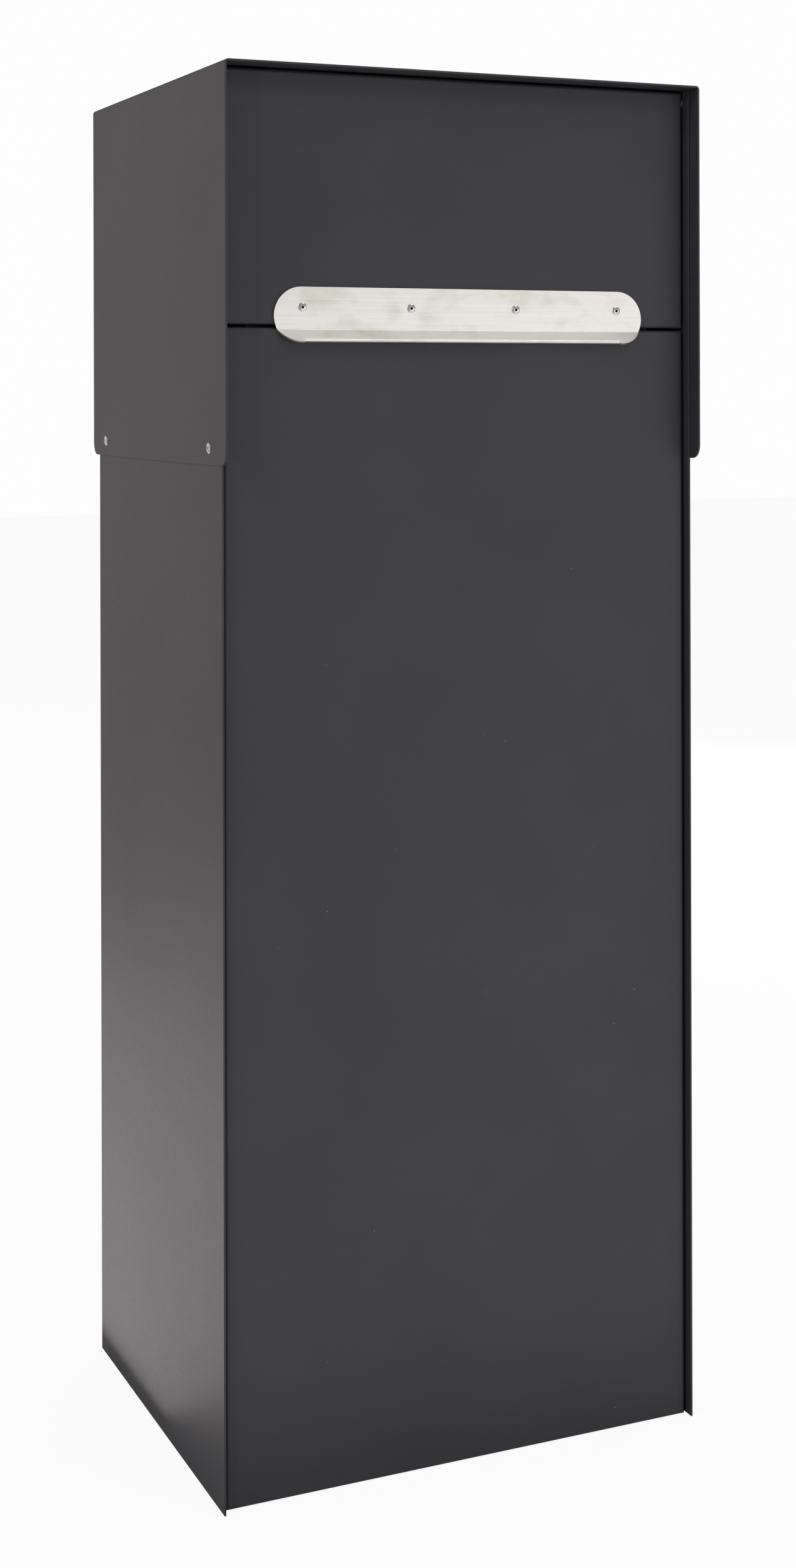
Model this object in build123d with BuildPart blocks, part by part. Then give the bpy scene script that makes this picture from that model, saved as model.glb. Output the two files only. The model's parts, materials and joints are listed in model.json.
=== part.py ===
from build123d import *
import os
from math import atan2, cos, degrees, hypot, radians, sin

# A free-standing parcel drop box of folded sheet steel.
#
# Frame: +X to the right of someone facing the box, +Y into the box, +Z up,
# origin at the middle of the footprint, on the floor. Millimetres throughout.
# The front faces -Y: a fixed lower panel, and above it a top-hung flap with a
# steel pull. Opening the flap lifts a tray that closes the way down to the
# parcels. They are taken out at the back, through a locked door.

# ---------------------------------------------------------------- dimensions
overall_width = 385.0  # across the roof cap
overall_depth = 330.0  # along the roof cap
overall_height = 1025.0
sheet = 1.5  # thickness of every folded steel piece
bend_radius = 3.0  # outside radius of a fold

cap_overhang = 12.0  # roof cap beyond the side walls, front and back
cap_side_height = 285.5  # roof down to the cap's lower edges
cap_corner_radius = 10.0
cap_rivet_rise = 12.0  # rivets above the cap's lower edge
cap_rivet_inset = 6.0  # inwards from the panels' folded rims
cap_rivet_diameter = 4.0
cap_rivet_head = 8.0
cap_rivet_dome = 1.3  # height of the head
rivet_bore_share = 0.31  # a set rivet's bore, as a share of its diameter
rivet_bulb_swell = 1.4  # its blind end, wider than the shank by this much
rivet_bulb_body = 0.6  # share of the blind end's length at full width
dome_shoulder = 0.86  # share of the head's height halfway out
dome_edge = 0.25  # share of the head's height at its rim

panel_recess = 6.0  # front panels and door sit behind the walls' raw edges
panel_gap = 1.5  # between a panel and a side wall
panel_flange = 12.0  # depth of a panel's folded rim
post_leg = 24.0  # leg of a post or jamb along the side wall
post_face = 17.5  # leg of a post or jamb across the opening
jamb_setback = 9.0  # jambs behind the door's rim, clear of its swing
floor_rim = 20.0  # base plate's upturned sides
floor_rim_gap = 3.0  # between those and the posts or jambs
stop_end_gap = 1.0  # between sill or header and a jamb
stop_rise = 25.0  # upright leg of sill and header
sill_leg = 20.0  # leg of the sill on the base plate
top_plate_setback = 29.0  # behind the front face, clear of the flap
top_plate_rim = 15.0
lip_setback = 18.5  # rear skin of the lower panel's upturned edge, behind its face
lip_end_gap = 5.0  # between that edge and a post
lip_rise = 0.4  # that edge above the flap's own

flap_height = 182.4
seam_gap = 2.0  # under the flap
roof_gap = 1.5  # between flap and roof cap
flap_side_flange = 18.0
flap_return = 10.0  # upturned edge behind the flap's foot
flap_hinge_setback = 6.0  # pivot behind the flap's face
flap_hinge_drop = 7.5  # pivot below the flap's top edge
flap_pin_diameter = 4.0

handle_length = 300.0
handle_width = 42.0  # of the flat blank, before its foot is bent out
handle_rise = 27.3  # upper edge above the flap's foot
handle_upper = 30.6  # upper edge down to the crease
handle_lip_angle = 39.0  # how far the foot is bent out from the vertical
handle_crease_radius = 1.0
handle_hem = 6.0  # length of the layer folded back behind the foot
handle_foot = 10.1  # crease down to the hemmed edge
handle_rivet_drop = 14.65  # rivets below the upper edge
handle_rivet_spacing = 85.5
handle_rivet_diameter = 3.2
handle_rivet_head = 6.5
handle_rivet_dome = 0.9
hem_roundness = 0.6  # radius of the hem's fold, as a share of the sheet

tray_pivot_setback = 42.0  # in front of the rear face
tray_pivot_rise = 0.4  # above the front lower panel
tray_front_gap = 4.5  # level tray's lip to the panel's upturned edge
tray_rise = 8.0  # tray's upper face above its pivot, when it lies level
tray_rim = 12.0
tray_ear_radius = 9.0
tray_swing = 75.0  # from hanging to level, the same as the flap's swing
tray_pin_diameter = 6.0
tray_pin_head_step = 3.0  # head wider than the pin
tray_ear_root = 70.0  # how far along the tray its ear runs out
guard_end_gap = 3.5  # between the guard plate and the tray's ears' line
guard_foot_place = (12.0, 11.0)  # its foot behind and above the tray's pivot
guard_fold_rise = 35.0  # its fold above its foot
guard_head_rise = 56.0  # its head above its foot

crank_length = 45.0
crank_rest_angle = -57.0  # from +Y, towards +Z
crank_eye_share = 0.75  # arm's radius round the hinge pin, by the pin's diameter
crank_boss_margin = 1.0  # arm's radius round the crank pin, beyond the link's
crank_root_setback = 10.0  # arm's widest point behind the flap's face
crank_root_drop = 50.0  # and below its hinge
link_width = 14.0
link_thickness = 2.0
layer_gap = 0.5  # between crank arm, link and tray
link_pin_diameter = 6.0
link_pin_head_step = 4.0  # head wider than the pin
head_thickness = 1.5  # of the pins' heads
pin_tip = 0.5  # a hinge pin past its crank arm

flap_buffer_spacing = 240.0
flap_buffer_radius = 4.0
flap_buffer_nose = 1.5  # rounding of its nose
door_buffer_inset = 118.0  # from the door's head and foot
door_buffer_edge = 8.0  # from the door's edge
door_buffer_radius = 5.0
door_buffer_nose = 2.0

door_bottom = 4.0
door_drop = 77.6  # door's head below the front lower panel's
door_gap = 2.0  # between the door and the panel above it
door_pivot_inset = 8.0  # pivot from the door's edge
door_pin_diameter = 6.0
door_pin_collar_step = 4.0  # collar wider than the pin
door_pin_reach = 8.0  # into the door
stiffener_inset = 38.0  # from the door's head and foot
stiffener_half = 20.0  # half its raised middle
stiffener_half_out = 32.0  # half its whole width
stiffener_relief = 1.0  # its back in front of the door's rim
lock_inset = 30.0  # lock from the door's edge
lock_height = 430.0
lock_barrel_diameter = 18.0
lock_core_diameter = 12.0
cam_reach = 20.0
cam_gap = 2.3  # between the cam and the jamb that it locks behind
cam_thickness = 2.0
cam_root_radius = 9.0
cam_tip_radius = 7.0
lock_flange = 2.0  # thickness of the lock's outer ring
lock_flange_margin = 2.5  # ring beyond the barrel
lock_flange_round = 0.8
lock_core_proud = 0.4  # plug in front of the ring
lock_nut_radius = 12.0  # middle to flat
lock_nut_height = 5.0
tang = 6.9  # square on the plug that turns the cam
key_slot = (1.8, 7.5)
key_slot_depth = 8.0
cam_screw_radius = 2.0
cam_screw_length = 8.0
cam_screw_hole_depth = 9.0
cam_screw_head_radius = 6.0
cam_screw_head_height = 2.6
cam_screw_round = 0.8
cam_screw_slot = (1.2, 8.0)  # each bar of its cross slot
cam_screw_slot_depth = 1.4

anchor_hole_diameter = 9.0
anchor_spacing_x = 300.0
anchor_spacing_y = 200.0

running_clearance = 0.05  # radial, a pin in its hole
side_clearance = 0.3  # beside a moving piece, and at a buffer
open_pivot_clearance = 0.3  # radial, the link's pivot on the tray

# ---------------------------------------------------------- worked-out places
wall_out = overall_width / 2 - sheet
wall_in = wall_out - sheet
wall_back = overall_depth / 2 - cap_overhang
face_out = wall_back - panel_recess  # outer face of front panels and door, +/-Y
rim_back = face_out - panel_flange
roof_under = overall_height - sheet
cap_bottom = overall_height - cap_side_height
cap_rivet_y = rim_back - cap_rivet_inset
cap_rivet_z = cap_bottom + cap_rivet_rise
panel_half = wall_in - panel_gap

flap_top = roof_under - roof_gap
flap_bottom = flap_top - flap_height
lower_top = flap_bottom - seam_gap
lip_back = -face_out + lip_setback
handle_top = flap_bottom + handle_rise
door_top = lower_top - door_drop
flap_pivot = (-face_out + flap_hinge_setback, flap_top - flap_hinge_drop)
tray_pivot = (face_out - tray_pivot_setback, lower_top + tray_pivot_rise)
tray_length = tray_pivot[0] - lip_back - tray_front_gap
crank_offset = (
    crank_length * cos(radians(crank_rest_angle)),
    crank_length * sin(radians(crank_rest_angle)),
)
flap_crank = (flap_pivot[0] + crank_offset[0], flap_pivot[1] + crank_offset[1])
tray_crank = (tray_pivot[0] + crank_offset[0], tray_pivot[1] + crank_offset[1])

flap_flange_in = panel_half - sheet
arm_in = flap_flange_in - link_thickness
link_out = arm_in - layer_gap
link_in = link_out - link_thickness
tray_half = link_in - layer_gap
tray_gap = wall_in - tray_half
tray_ear_in = tray_half - sheet

SIDES = ((-1, "left"), (1, "right"))

os.makedirs("parts", exist_ok=True)


# ------------------------------------------------------------------- helpers
def save(part, name):
    """Label a finished piece and write it as its own STEP file."""
    part.label = name
    export_step(part, f"parts/{name}.step")


def folded_tray(width, height, depth):
    """A panel folded back on all four sides: its face at Y = 0, foot at Z = 0."""
    with BuildPart() as tray:
        Box(width, depth, height, align=(Align.CENTER, Align.MIN, Align.MIN))
        fillet(tray.faces().sort_by(Axis.Y)[0].edges(), radius=bend_radius)
        offset(amount=-sheet, openings=tray.faces().sort_by(Axis.Y)[-1])
    return tray.part


def bent_sheet(plane, points, length, side=Side.LEFT, thickness=sheet):
    """A strip folded along the given line, which is one of its two skins."""
    with BuildPart() as strip:
        with BuildSketch(plane):
            with BuildLine():
                FilletPolyline(*points, radius=bend_radius)
                offset(amount=thickness, side=side)
            make_face()
        extrude(amount=length)
    return strip.part


def blind_rivet(diameter, head_diameter, head_height, grip, bulb_length=2.0):
    """A set blind rivet along +Z, its head seated on Z = 0."""
    shank = diameter / 2
    head = head_diameter / 2
    bore = diameter * rivet_bore_share
    bulb = shank * rivet_bulb_swell
    body = -grip - bulb_length * rivet_bulb_body
    rim = head_height * dome_edge
    with BuildPart() as rivet:
        with BuildSketch(Plane.XZ):
            with BuildLine():
                Polyline((head, 0), (shank, 0), (shank, -grip), (bulb, -grip))
                Line((bulb, -grip), (bulb, body))
                Line((bulb, body), (shank, -grip - bulb_length))
                Line((shank, -grip - bulb_length), (0, -grip - bulb_length))
                Polyline((0, -grip - bulb_length), (0, -grip), (bore, -grip))
                Line((bore, -grip), (bore, head_height))
                ThreePointArc(
                    (bore, head_height),
                    ((bore + head) / 2, head_height * dome_shoulder),
                    (head, rim),
                )
                Line((head, rim), (head, 0))
            make_face()
        revolve(axis=Axis.Z)
    return rivet.part


def stepped_pin(plane, steps):
    """A turned pin on the plane's normal: (start, end, diameter) of each step."""
    with BuildPart() as pin:
        for start, end, diameter in steps:
            with BuildSketch(plane.offset(start)):
                Circle(diameter / 2)
            extrude(amount=end - start)
    return pin.part


def side_plane(side, distance, y, z):
    """A plane facing inwards from one side, its origin at (side * distance, y, z)."""
    return Plane(origin=(side * distance, y, z), x_dir=(0, 1, 0), z_dir=(-side, 0, 0))


# --------------------------------------------------------------- side walls
for side, word in SIDES:
    with BuildPart() as side_wall:
        with BuildSketch(Plane.YZ.offset(side * wall_in)):
            with Locations((0, roof_under / 2)):
                Rectangle(2 * wall_back, roof_under)
            with Locations((-cap_rivet_y, cap_rivet_z), (cap_rivet_y, cap_rivet_z)):
                Circle(cap_rivet_diameter / 2 + running_clearance, mode=Mode.SUBTRACT)
        extrude(amount=side * sheet)
    save(side_wall.part, f"{word}_side_wall")

# ------------------------------------------------------------------ roof cap
# One sheet folded to a U and slipped over the side walls.
with BuildPart() as roof_cap:
    with BuildSketch(Plane.XZ.offset(-overall_depth / 2)):
        with Locations((0, overall_height)):
            Rectangle(overall_width, cap_side_height, align=(Align.CENTER, Align.MAX))
        with Locations((0, roof_under)):
            Rectangle(
                overall_width - 2 * sheet,
                cap_side_height,
                align=(Align.CENTER, Align.MAX),
                mode=Mode.SUBTRACT,
            )
    extrude(amount=overall_depth)
    top_edges = roof_cap.edges().filter_by(Axis.Y).group_by(Axis.Z)[-1]
    fillet(top_edges, radius=bend_radius)
    foot_corners = roof_cap.edges().filter_by(Axis.X).group_by(Axis.Z)[0]
    fillet(foot_corners.group_by(SortBy.LENGTH)[0], radius=cap_corner_radius)
    for side, _ in SIDES:
        with Locations(
            side_plane(side, overall_width / 2, -cap_rivet_y, cap_rivet_z),
            side_plane(side, overall_width / 2, cap_rivet_y, cap_rivet_z),
        ):
            Cylinder(
                cap_rivet_diameter / 2 + running_clearance,
                2 * sheet,
                mode=Mode.SUBTRACT,
            )
save(roof_cap.part, "roof_cap")

# Four blind rivets hold the cap; the front pair also takes in the front posts.
with BuildPart() as cap_rivets:
    for side, _ in SIDES:
        for y, layers in ((-cap_rivet_y, 3), (cap_rivet_y, 2)):
            rivet = blind_rivet(
                cap_rivet_diameter, cap_rivet_head, cap_rivet_dome, layers * sheet
            )
            out = Plane(origin=(side * overall_width / 2, y, cap_rivet_z), z_dir=(side, 0, 0))
            add(out.location * rivet)
save(cap_rivets.part, "cap_rivets")

# --------------------------------------------------------- front lower panel
# A folded panel; its side rims turn in behind it, and its head turns up as the
# stop that the flap's buffers rest on.
lip_half = panel_half - post_face - lip_end_gap
lip_top = flap_bottom + flap_return + lip_rise
with BuildPart() as front_lower_panel:
    with Locations((0, -face_out, 0)):
        add(folded_tray(2 * panel_half, lower_top, panel_flange))
    for side, _ in SIDES:
        with Locations((side * panel_half, -rim_back, sheet)):
            Box(
                post_face - sheet,
                sheet,
                lower_top - 2 * sheet,
                align=(Align.MIN if side < 0 else Align.MAX, Align.MAX, Align.MIN),
            )
    with BuildSketch(Plane.YZ.offset(-lip_half)):
        with Locations((-rim_back - sheet, lower_top)):
            Rectangle(lip_back + rim_back + sheet, sheet, align=(Align.MIN, Align.MAX))
        with Locations((lip_back, lower_top - sheet)):
            Rectangle(sheet, lip_top - lower_top + sheet, align=(Align.MAX, Align.MIN))
    extrude(amount=2 * lip_half)
save(front_lower_panel.part, "front_lower_panel")

# --------------------------------------------- front posts and rear door jambs
jamb_face = rim_back - jamb_setback  # rear skin of the jambs
for side, word in SIDES:
    post = bent_sheet(
        Plane.XY.offset(sheet),
        (
            (side * (wall_in - post_face), -rim_back),
            (side * wall_in, -rim_back),
            (side * wall_in, -rim_back + post_leg),
        ),
        lower_top - 2 * sheet,
        side=Side.LEFT if side > 0 else Side.RIGHT,
    )
    with BuildPart() as front_post:
        add(post)
        with Locations(side_plane(side, wall_in, -cap_rivet_y, cap_rivet_z)):
            Cylinder(
                cap_rivet_diameter / 2 + running_clearance, 4 * sheet, mode=Mode.SUBTRACT
            )
    save(front_post.part, f"front_post_{word}")
    jamb = bent_sheet(
        Plane.XY.offset(sheet),
        (
            (side * (wall_in - post_face), jamb_face),
            (side * wall_in, jamb_face),
            (side * wall_in, jamb_face - post_leg),
        ),
        door_top - 2 * sheet,
        side=Side.RIGHT if side > 0 else Side.LEFT,
    )
    save(jamb, f"rear_jamb_{word}")

# ---------------------------------------------------------------- base plate
rim_front = -rim_back + post_leg + floor_rim_gap
rim_rear = jamb_face - post_leg - floor_rim_gap
with BuildPart() as base_plate:
    with BuildSketch():
        with Locations((0, -rim_back)):
            Rectangle(2 * wall_in, rim_back + face_out, align=(Align.CENTER, Align.MIN))
        with GridLocations(anchor_spacing_x, anchor_spacing_y, 2, 2):
            Circle(anchor_hole_diameter / 2, mode=Mode.SUBTRACT)
    extrude(amount=sheet)
    for side, _ in SIDES:
        with Locations((side * wall_in, rim_front, 0)):
            Box(
                sheet,
                rim_rear - rim_front,
                floor_rim + sheet,
                align=(Align.MIN if side < 0 else Align.MAX, Align.MIN, Align.MIN),
            )
save(base_plate.part, "base_plate")

# ------------------------------------------------------ door sill and header
stop_half = wall_in - post_face - stop_end_gap
sill = bent_sheet(
    Plane.YZ.offset(-stop_half),
    ((jamb_face, stop_rise), (jamb_face, sheet), (jamb_face - sill_leg, sheet)),
    2 * stop_half,
    side=Side.RIGHT,
)
save(sill, "door_sill")

rear_panel_foot = door_top + door_gap
rear_panel_head = roof_under - sheet
header_z = rear_panel_foot + 2 * sheet
header = bent_sheet(
    Plane.YZ.offset(-stop_half),
    (
        (jamb_face - sheet, header_z - stop_rise),
        (jamb_face - sheet, header_z),
        (face_out - bend_radius, header_z),
    ),
    2 * stop_half,
    side=Side.RIGHT,
)
save(header, "door_header")

# ---------------------------------------------- upper rear panel and top plate
with BuildPart() as rear_upper_panel:
    with Locations(Location((0, face_out, rear_panel_foot), (0, 0, 180))):
        add(folded_tray(2 * wall_in, rear_panel_head - rear_panel_foot, panel_flange))
save(rear_upper_panel.part, "rear_upper_panel")

top_front = -face_out + top_plate_setback
with BuildPart() as top_plate:
    with Locations((0, top_front, roof_under)):
        Box(
            2 * wall_in,
            face_out - sheet - top_front,
            sheet,
            align=(Align.CENTER, Align.MIN, Align.MAX),
        )
    for side, _ in SIDES:
        with Locations((side * wall_in, top_front, roof_under)):
            Box(
                sheet,
                rim_back - sheet - top_front,
                top_plate_rim,
                align=(Align.MIN if side < 0 else Align.MAX, Align.MIN, Align.MAX),
            )
save(top_plate.part, "top_plate")

# A sloping guard behind the tray's pivot, so nothing is reached or lost there.
guard_half = tray_half - guard_end_gap
guard_foot = (
    tray_pivot[0] + guard_foot_place[0],
    tray_pivot[1] + guard_foot_place[1],
)
guard = bent_sheet(
    Plane.YZ.offset(-guard_half),
    (
        (face_out - sheet, guard_foot[1] + guard_head_rise),
        (face_out - sheet, guard_foot[1] + guard_fold_rise),
        guard_foot,
    ),
    2 * guard_half,
    side=Side.RIGHT,
)
save(guard, "rear_guard_plate")

# --------------------------------------------------------------------- flap
handle_holes = Plane(
    origin=(0, -face_out, handle_top - handle_rivet_drop),
    x_dir=(1, 0, 0),
    z_dir=(0, -1, 0),
)
with BuildPart() as flap_panel:
    with Locations((0, -face_out, flap_bottom)):
        add(folded_tray(2 * panel_half, flap_top - flap_bottom, panel_flange))
    for side, _ in SIDES:
        with Locations((side * panel_half, -rim_back, flap_bottom + bend_radius)):
            Box(
                sheet,
                flap_side_flange - panel_flange,
                flap_top - flap_bottom - 2 * bend_radius,
                align=(Align.MIN if side < 0 else Align.MAX, Align.MIN, Align.MIN),
            )
    with Locations((0, -rim_back, flap_bottom)):
        Box(
            2 * flap_flange_in,
            sheet,
            flap_return,
            align=(Align.CENTER, Align.MAX, Align.MIN),
        )
    with Locations(Plane(origin=(0, *flap_pivot), z_dir=(1, 0, 0))):
        Cylinder(
            flap_pin_diameter / 2 + running_clearance, 2 * wall_in, mode=Mode.SUBTRACT
        )
    with Locations(handle_holes):
        with GridLocations(handle_rivet_spacing, 1, 4, 1):
            Cylinder(
                handle_rivet_diameter / 2 + running_clearance, 3 * sheet, mode=Mode.SUBTRACT
            )
save(flap_panel.part, "flap_panel")

# ------------------------------------------------------------------- handle
# A stadium-shaped steel plate whose foot is bent out to make the finger pull.
crease = (-face_out - sheet, handle_top - handle_upper)
lip_length = handle_width - handle_upper
lip_down = (-sin(radians(handle_lip_angle)), -cos(radians(handle_lip_angle)))
lip_end = (crease[0] + lip_down[0] * lip_length, crease[1] + lip_down[1] * lip_length)
end_radius = handle_width / 2
straight_half = handle_length / 2 - end_radius
foot_plane = Plane(
    origin=(0, *crease), x_dir=(1, 0, 0), z_dir=(0, lip_down[1], -lip_down[0])
)
with BuildPart() as handle_blank:
    with BuildSketch(Plane.YZ.offset(-handle_length / 2)):
        with BuildLine():
            FilletPolyline(
                (crease[0], handle_top), crease, lip_end, radius=handle_crease_radius
            )
            offset(amount=sheet, side=Side.LEFT)
        make_face()
    extrude(amount=handle_length)
# The blank's outline, once across the flat and once across the bent-out foot.
with BuildPart() as handle_outline:
    with BuildSketch(Plane.XZ.offset(face_out - sheet)):
        with Locations((0, handle_top - end_radius)):
            SlotOverall(handle_length, handle_width)
        with Locations((0, crease[1] - sheet)):
            Rectangle(
                2 * handle_length,
                handle_width,
                align=(Align.CENTER, Align.MAX),
                mode=Mode.SUBTRACT,
            )
    extrude(amount=4 * sheet)
    with BuildSketch(foot_plane.offset(-2 * sheet)):
        with Locations((0, handle_upper - end_radius)):
            SlotOverall(handle_length, handle_width)
        Rectangle(
            2 * handle_length,
            handle_width,
            align=(Align.CENTER, Align.MIN),
            mode=Mode.SUBTRACT,
        )
    extrude(amount=4 * sheet)
hem_plane = Plane(
    origin=(-straight_half, *crease), x_dir=(0, *lip_down), z_dir=(1, 0, 0)
)
with BuildPart() as handle_plate:
    add(handle_blank.part)
    add(handle_outline.part, mode=Mode.INTERSECT)
    with BuildSketch(hem_plane):
        with Locations((handle_foot, 0)):
            Rectangle(lip_length, 6 * sheet, align=(Align.MIN, Align.CENTER))
    extrude(amount=2 * straight_half, mode=Mode.SUBTRACT)
    with BuildSketch(hem_plane) as hem:
        with Locations((handle_foot, 0)):
            Rectangle(handle_hem, 2 * sheet, align=(Align.MAX, Align.MIN))
        fillet(hem.vertices().group_by(Axis.Z)[0], radius=hem_roundness * sheet)
    extrude(amount=2 * straight_half)
    with Locations(handle_holes):
        with GridLocations(handle_rivet_spacing, 1, 4, 1):
            Cylinder(
                handle_rivet_diameter / 2 + running_clearance, 6 * sheet, mode=Mode.SUBTRACT
            )
save(handle_plate.part, "handle_plate")

with BuildPart() as handle_rivets:
    with Locations(handle_holes.offset(sheet)):
        with GridLocations(handle_rivet_spacing, 1, 4, 1):
            add(
                blind_rivet(
                    handle_rivet_diameter, handle_rivet_head, handle_rivet_dome, 2 * sheet
                )
            )
save(handle_rivets.part, "handle_rivets")

# --------------------------------------------------------- flap hinge and arms
with BuildPart() as flap_hinge_pins:
    for side, _ in SIDES:
        seat = side_plane(side, wall_in, *flap_pivot)
        collar = panel_gap - side_clearance
        add(
            stepped_pin(
                seat,
                (
                    (0, collar, 2 * flap_pin_diameter),
                    (collar, wall_in - arm_in + pin_tip, flap_pin_diameter),
                ),
            )
        )
save(flap_hinge_pins.part, "flap_hinge_pins")

crank_root = (-face_out + crank_root_setback, flap_pivot[1] - crank_root_drop)
for side, word in SIDES:
    with BuildPart() as crank_arm:
        with BuildSketch(Plane.YZ.offset(side * flap_flange_in)) as arm_outline:
            with Locations(flap_pivot):
                Circle(flap_pin_diameter * crank_eye_share)
            with Locations(crank_root):
                Circle(link_width / 2)
            with Locations(flap_crank):
                Circle(link_width / 2 + crank_boss_margin)
            make_hull()
            with Locations(flap_pivot):
                Circle(flap_pin_diameter / 2 + running_clearance, mode=Mode.SUBTRACT)
            with Locations(flap_crank):
                Circle(link_pin_diameter / 2 + running_clearance, mode=Mode.SUBTRACT)
        extrude(amount=-side * link_thickness)
    save(crank_arm.part, f"crank_arm_{word}")

pin_head = link_pin_diameter + link_pin_head_step
with BuildPart() as crank_pins:
    for side, _ in SIDES:
        seat = side_plane(side, flap_flange_in, *flap_crank)
        grip = flap_flange_in - link_in + side_clearance
        add(
            stepped_pin(
                seat,
                (
                    (-head_thickness, 0, pin_head),
                    (0, grip, link_pin_diameter),
                    (grip, grip + head_thickness, pin_head),
                ),
            )
        )
save(crank_pins.part, "crank_pins")

# --------------------------------------------------------------------- links
link_span = hypot(tray_crank[0] - flap_crank[0], tray_crank[1] - flap_crank[1])
link_angle = degrees(atan2(tray_crank[1] - flap_crank[1], tray_crank[0] - flap_crank[0]))
link_middle = ((flap_crank[0] + tray_crank[0]) / 2, (flap_crank[1] + tray_crank[1]) / 2)
for side, word in SIDES:
    with BuildPart() as link_bar:
        with BuildSketch(Plane.YZ.offset(side * link_in)):
            with Locations(Location(link_middle, link_angle)):
                SlotCenterToCenter(link_span, link_width)
            with Locations(flap_crank):
                Circle(link_pin_diameter / 2 + running_clearance, mode=Mode.SUBTRACT)
            with Locations(tray_crank):
                Circle(link_pin_diameter / 2 + open_pivot_clearance, mode=Mode.SUBTRACT)
        extrude(amount=side * link_thickness)
    save(link_bar.part, f"link_bar_{word}")

# ---------------------------------------------------------------------- tray
# Drawn on its own plane, which hangs tray_swing below the level when at rest:
# x to the left, y along the tray away from its pivot, z out of its upper face.
hang = radians(180.0 + tray_swing)
tray_plane = Plane(
    origin=(0, *tray_pivot), x_dir=(-1, 0, 0), z_dir=(0, sin(hang), -cos(hang))
)
ear_root = (
    tray_pivot[0] + tray_ear_root * cos(hang),
    tray_pivot[1] + tray_ear_root * sin(hang),
)
with BuildPart() as drop_tray:
    with BuildSketch(tray_plane.offset(tray_rise)):
        with Locations((0, -tray_rise)):
            Rectangle(
                2 * tray_half, tray_length + tray_rise, align=(Align.CENTER, Align.MIN)
            )
    extrude(amount=-sheet)
    with BuildSketch(tray_plane.offset(tray_rise)):
        with Locations((0, tray_length)):
            Rectangle(2 * tray_half, sheet, align=(Align.CENTER, Align.MAX))
    extrude(amount=-tray_rim - sheet)
    for side, _ in SIDES:
        ear_plane = Plane(
            origin=(side * tray_ear_in, *tray_pivot),
            x_dir=(0, cos(hang), sin(hang)),
            z_dir=(1, 0, 0),
        )
        with BuildSketch(ear_plane):
            with Locations((-tray_rise, -tray_rise)):
                Rectangle(
                    tray_length + tray_rise, tray_rim + sheet, align=(Align.MIN, Align.MIN)
                )
        extrude(amount=side * sheet)
        with BuildSketch(Plane.YZ.offset(side * tray_ear_in)):
            with Locations(tray_pivot, tray_crank):
                Circle(tray_ear_radius)
            with Locations(ear_root):
                Circle(tray_ear_radius / 2)
            make_hull()
        extrude(amount=side * sheet)
        for place, radius in (
            (tray_pivot, tray_pin_diameter / 2),
            (tray_crank, link_pin_diameter / 2),
        ):
            with Locations(side_plane(side, tray_ear_in, *place)):
                Cylinder(radius + running_clearance, 4 * sheet, mode=Mode.SUBTRACT)
save(drop_tray.part, "drop_tray")

with BuildPart() as tray_pivot_pins:
    for side, _ in SIDES:
        seat = side_plane(side, wall_in, *tray_pivot)
        collar = tray_gap - side_clearance
        through = tray_gap + sheet + side_clearance
        tray_pin_head = tray_pin_diameter + tray_pin_head_step
        add(
            stepped_pin(
                seat,
                (
                    (0, collar, 2 * tray_pin_diameter),
                    (collar, through, tray_pin_diameter),
                    (through, through + head_thickness, tray_pin_head),
                ),
            )
        )
save(tray_pivot_pins.part, "tray_pivot_pins")

with BuildPart() as tray_link_pins:
    for side, _ in SIDES:
        seat = side_plane(side, tray_ear_in, *tray_crank)
        outer = link_out - tray_ear_in + side_clearance
        add(
            stepped_pin(
                seat,
                (
                    (-outer - head_thickness, -outer, pin_head),
                    (-outer, 0, link_pin_diameter),
                    (0, head_thickness, pin_head),
                ),
            )
        )
save(tray_link_pins.part, "tray_link_pins")

# ------------------------------------------------------------------- buffers
buffer_z = flap_bottom + flap_return / 2
with BuildPart() as flap_buffers:
    buffer_seat = Plane(
        origin=(0, lip_back - sheet, buffer_z), x_dir=(1, 0, 0), z_dir=(0, -1, 0)
    )
    with Locations(buffer_seat):
        with GridLocations(flap_buffer_spacing, 1, 2, 1):
            Cylinder(
                flap_buffer_radius,
                lip_back - sheet + rim_back - side_clearance,
                align=(Align.CENTER, Align.CENTER, Align.MIN),
            )
    noses = flap_buffers.faces().filter_by(Axis.Y).group_by(Axis.Y)[0]
    fillet(noses.edges(), radius=flap_buffer_nose)
save(flap_buffers.part, "flap_buffers")

with BuildPart() as door_buffers:
    for z in (door_bottom + door_buffer_inset, door_top - door_buffer_inset):
        seat = (panel_half - door_buffer_edge, jamb_face, z)
        with Locations(Plane(origin=seat, z_dir=(0, 1, 0))):
            Cylinder(
                door_buffer_radius,
                face_out - sheet - jamb_face - side_clearance,
                align=(Align.CENTER, Align.CENTER, Align.MIN),
            )
    noses = door_buffers.faces().filter_by(Axis.Y).group_by(Axis.Y)[-1]
    fillet(noses.edges(), radius=door_buffer_nose)
save(door_buffers.part, "door_buffers")

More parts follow.
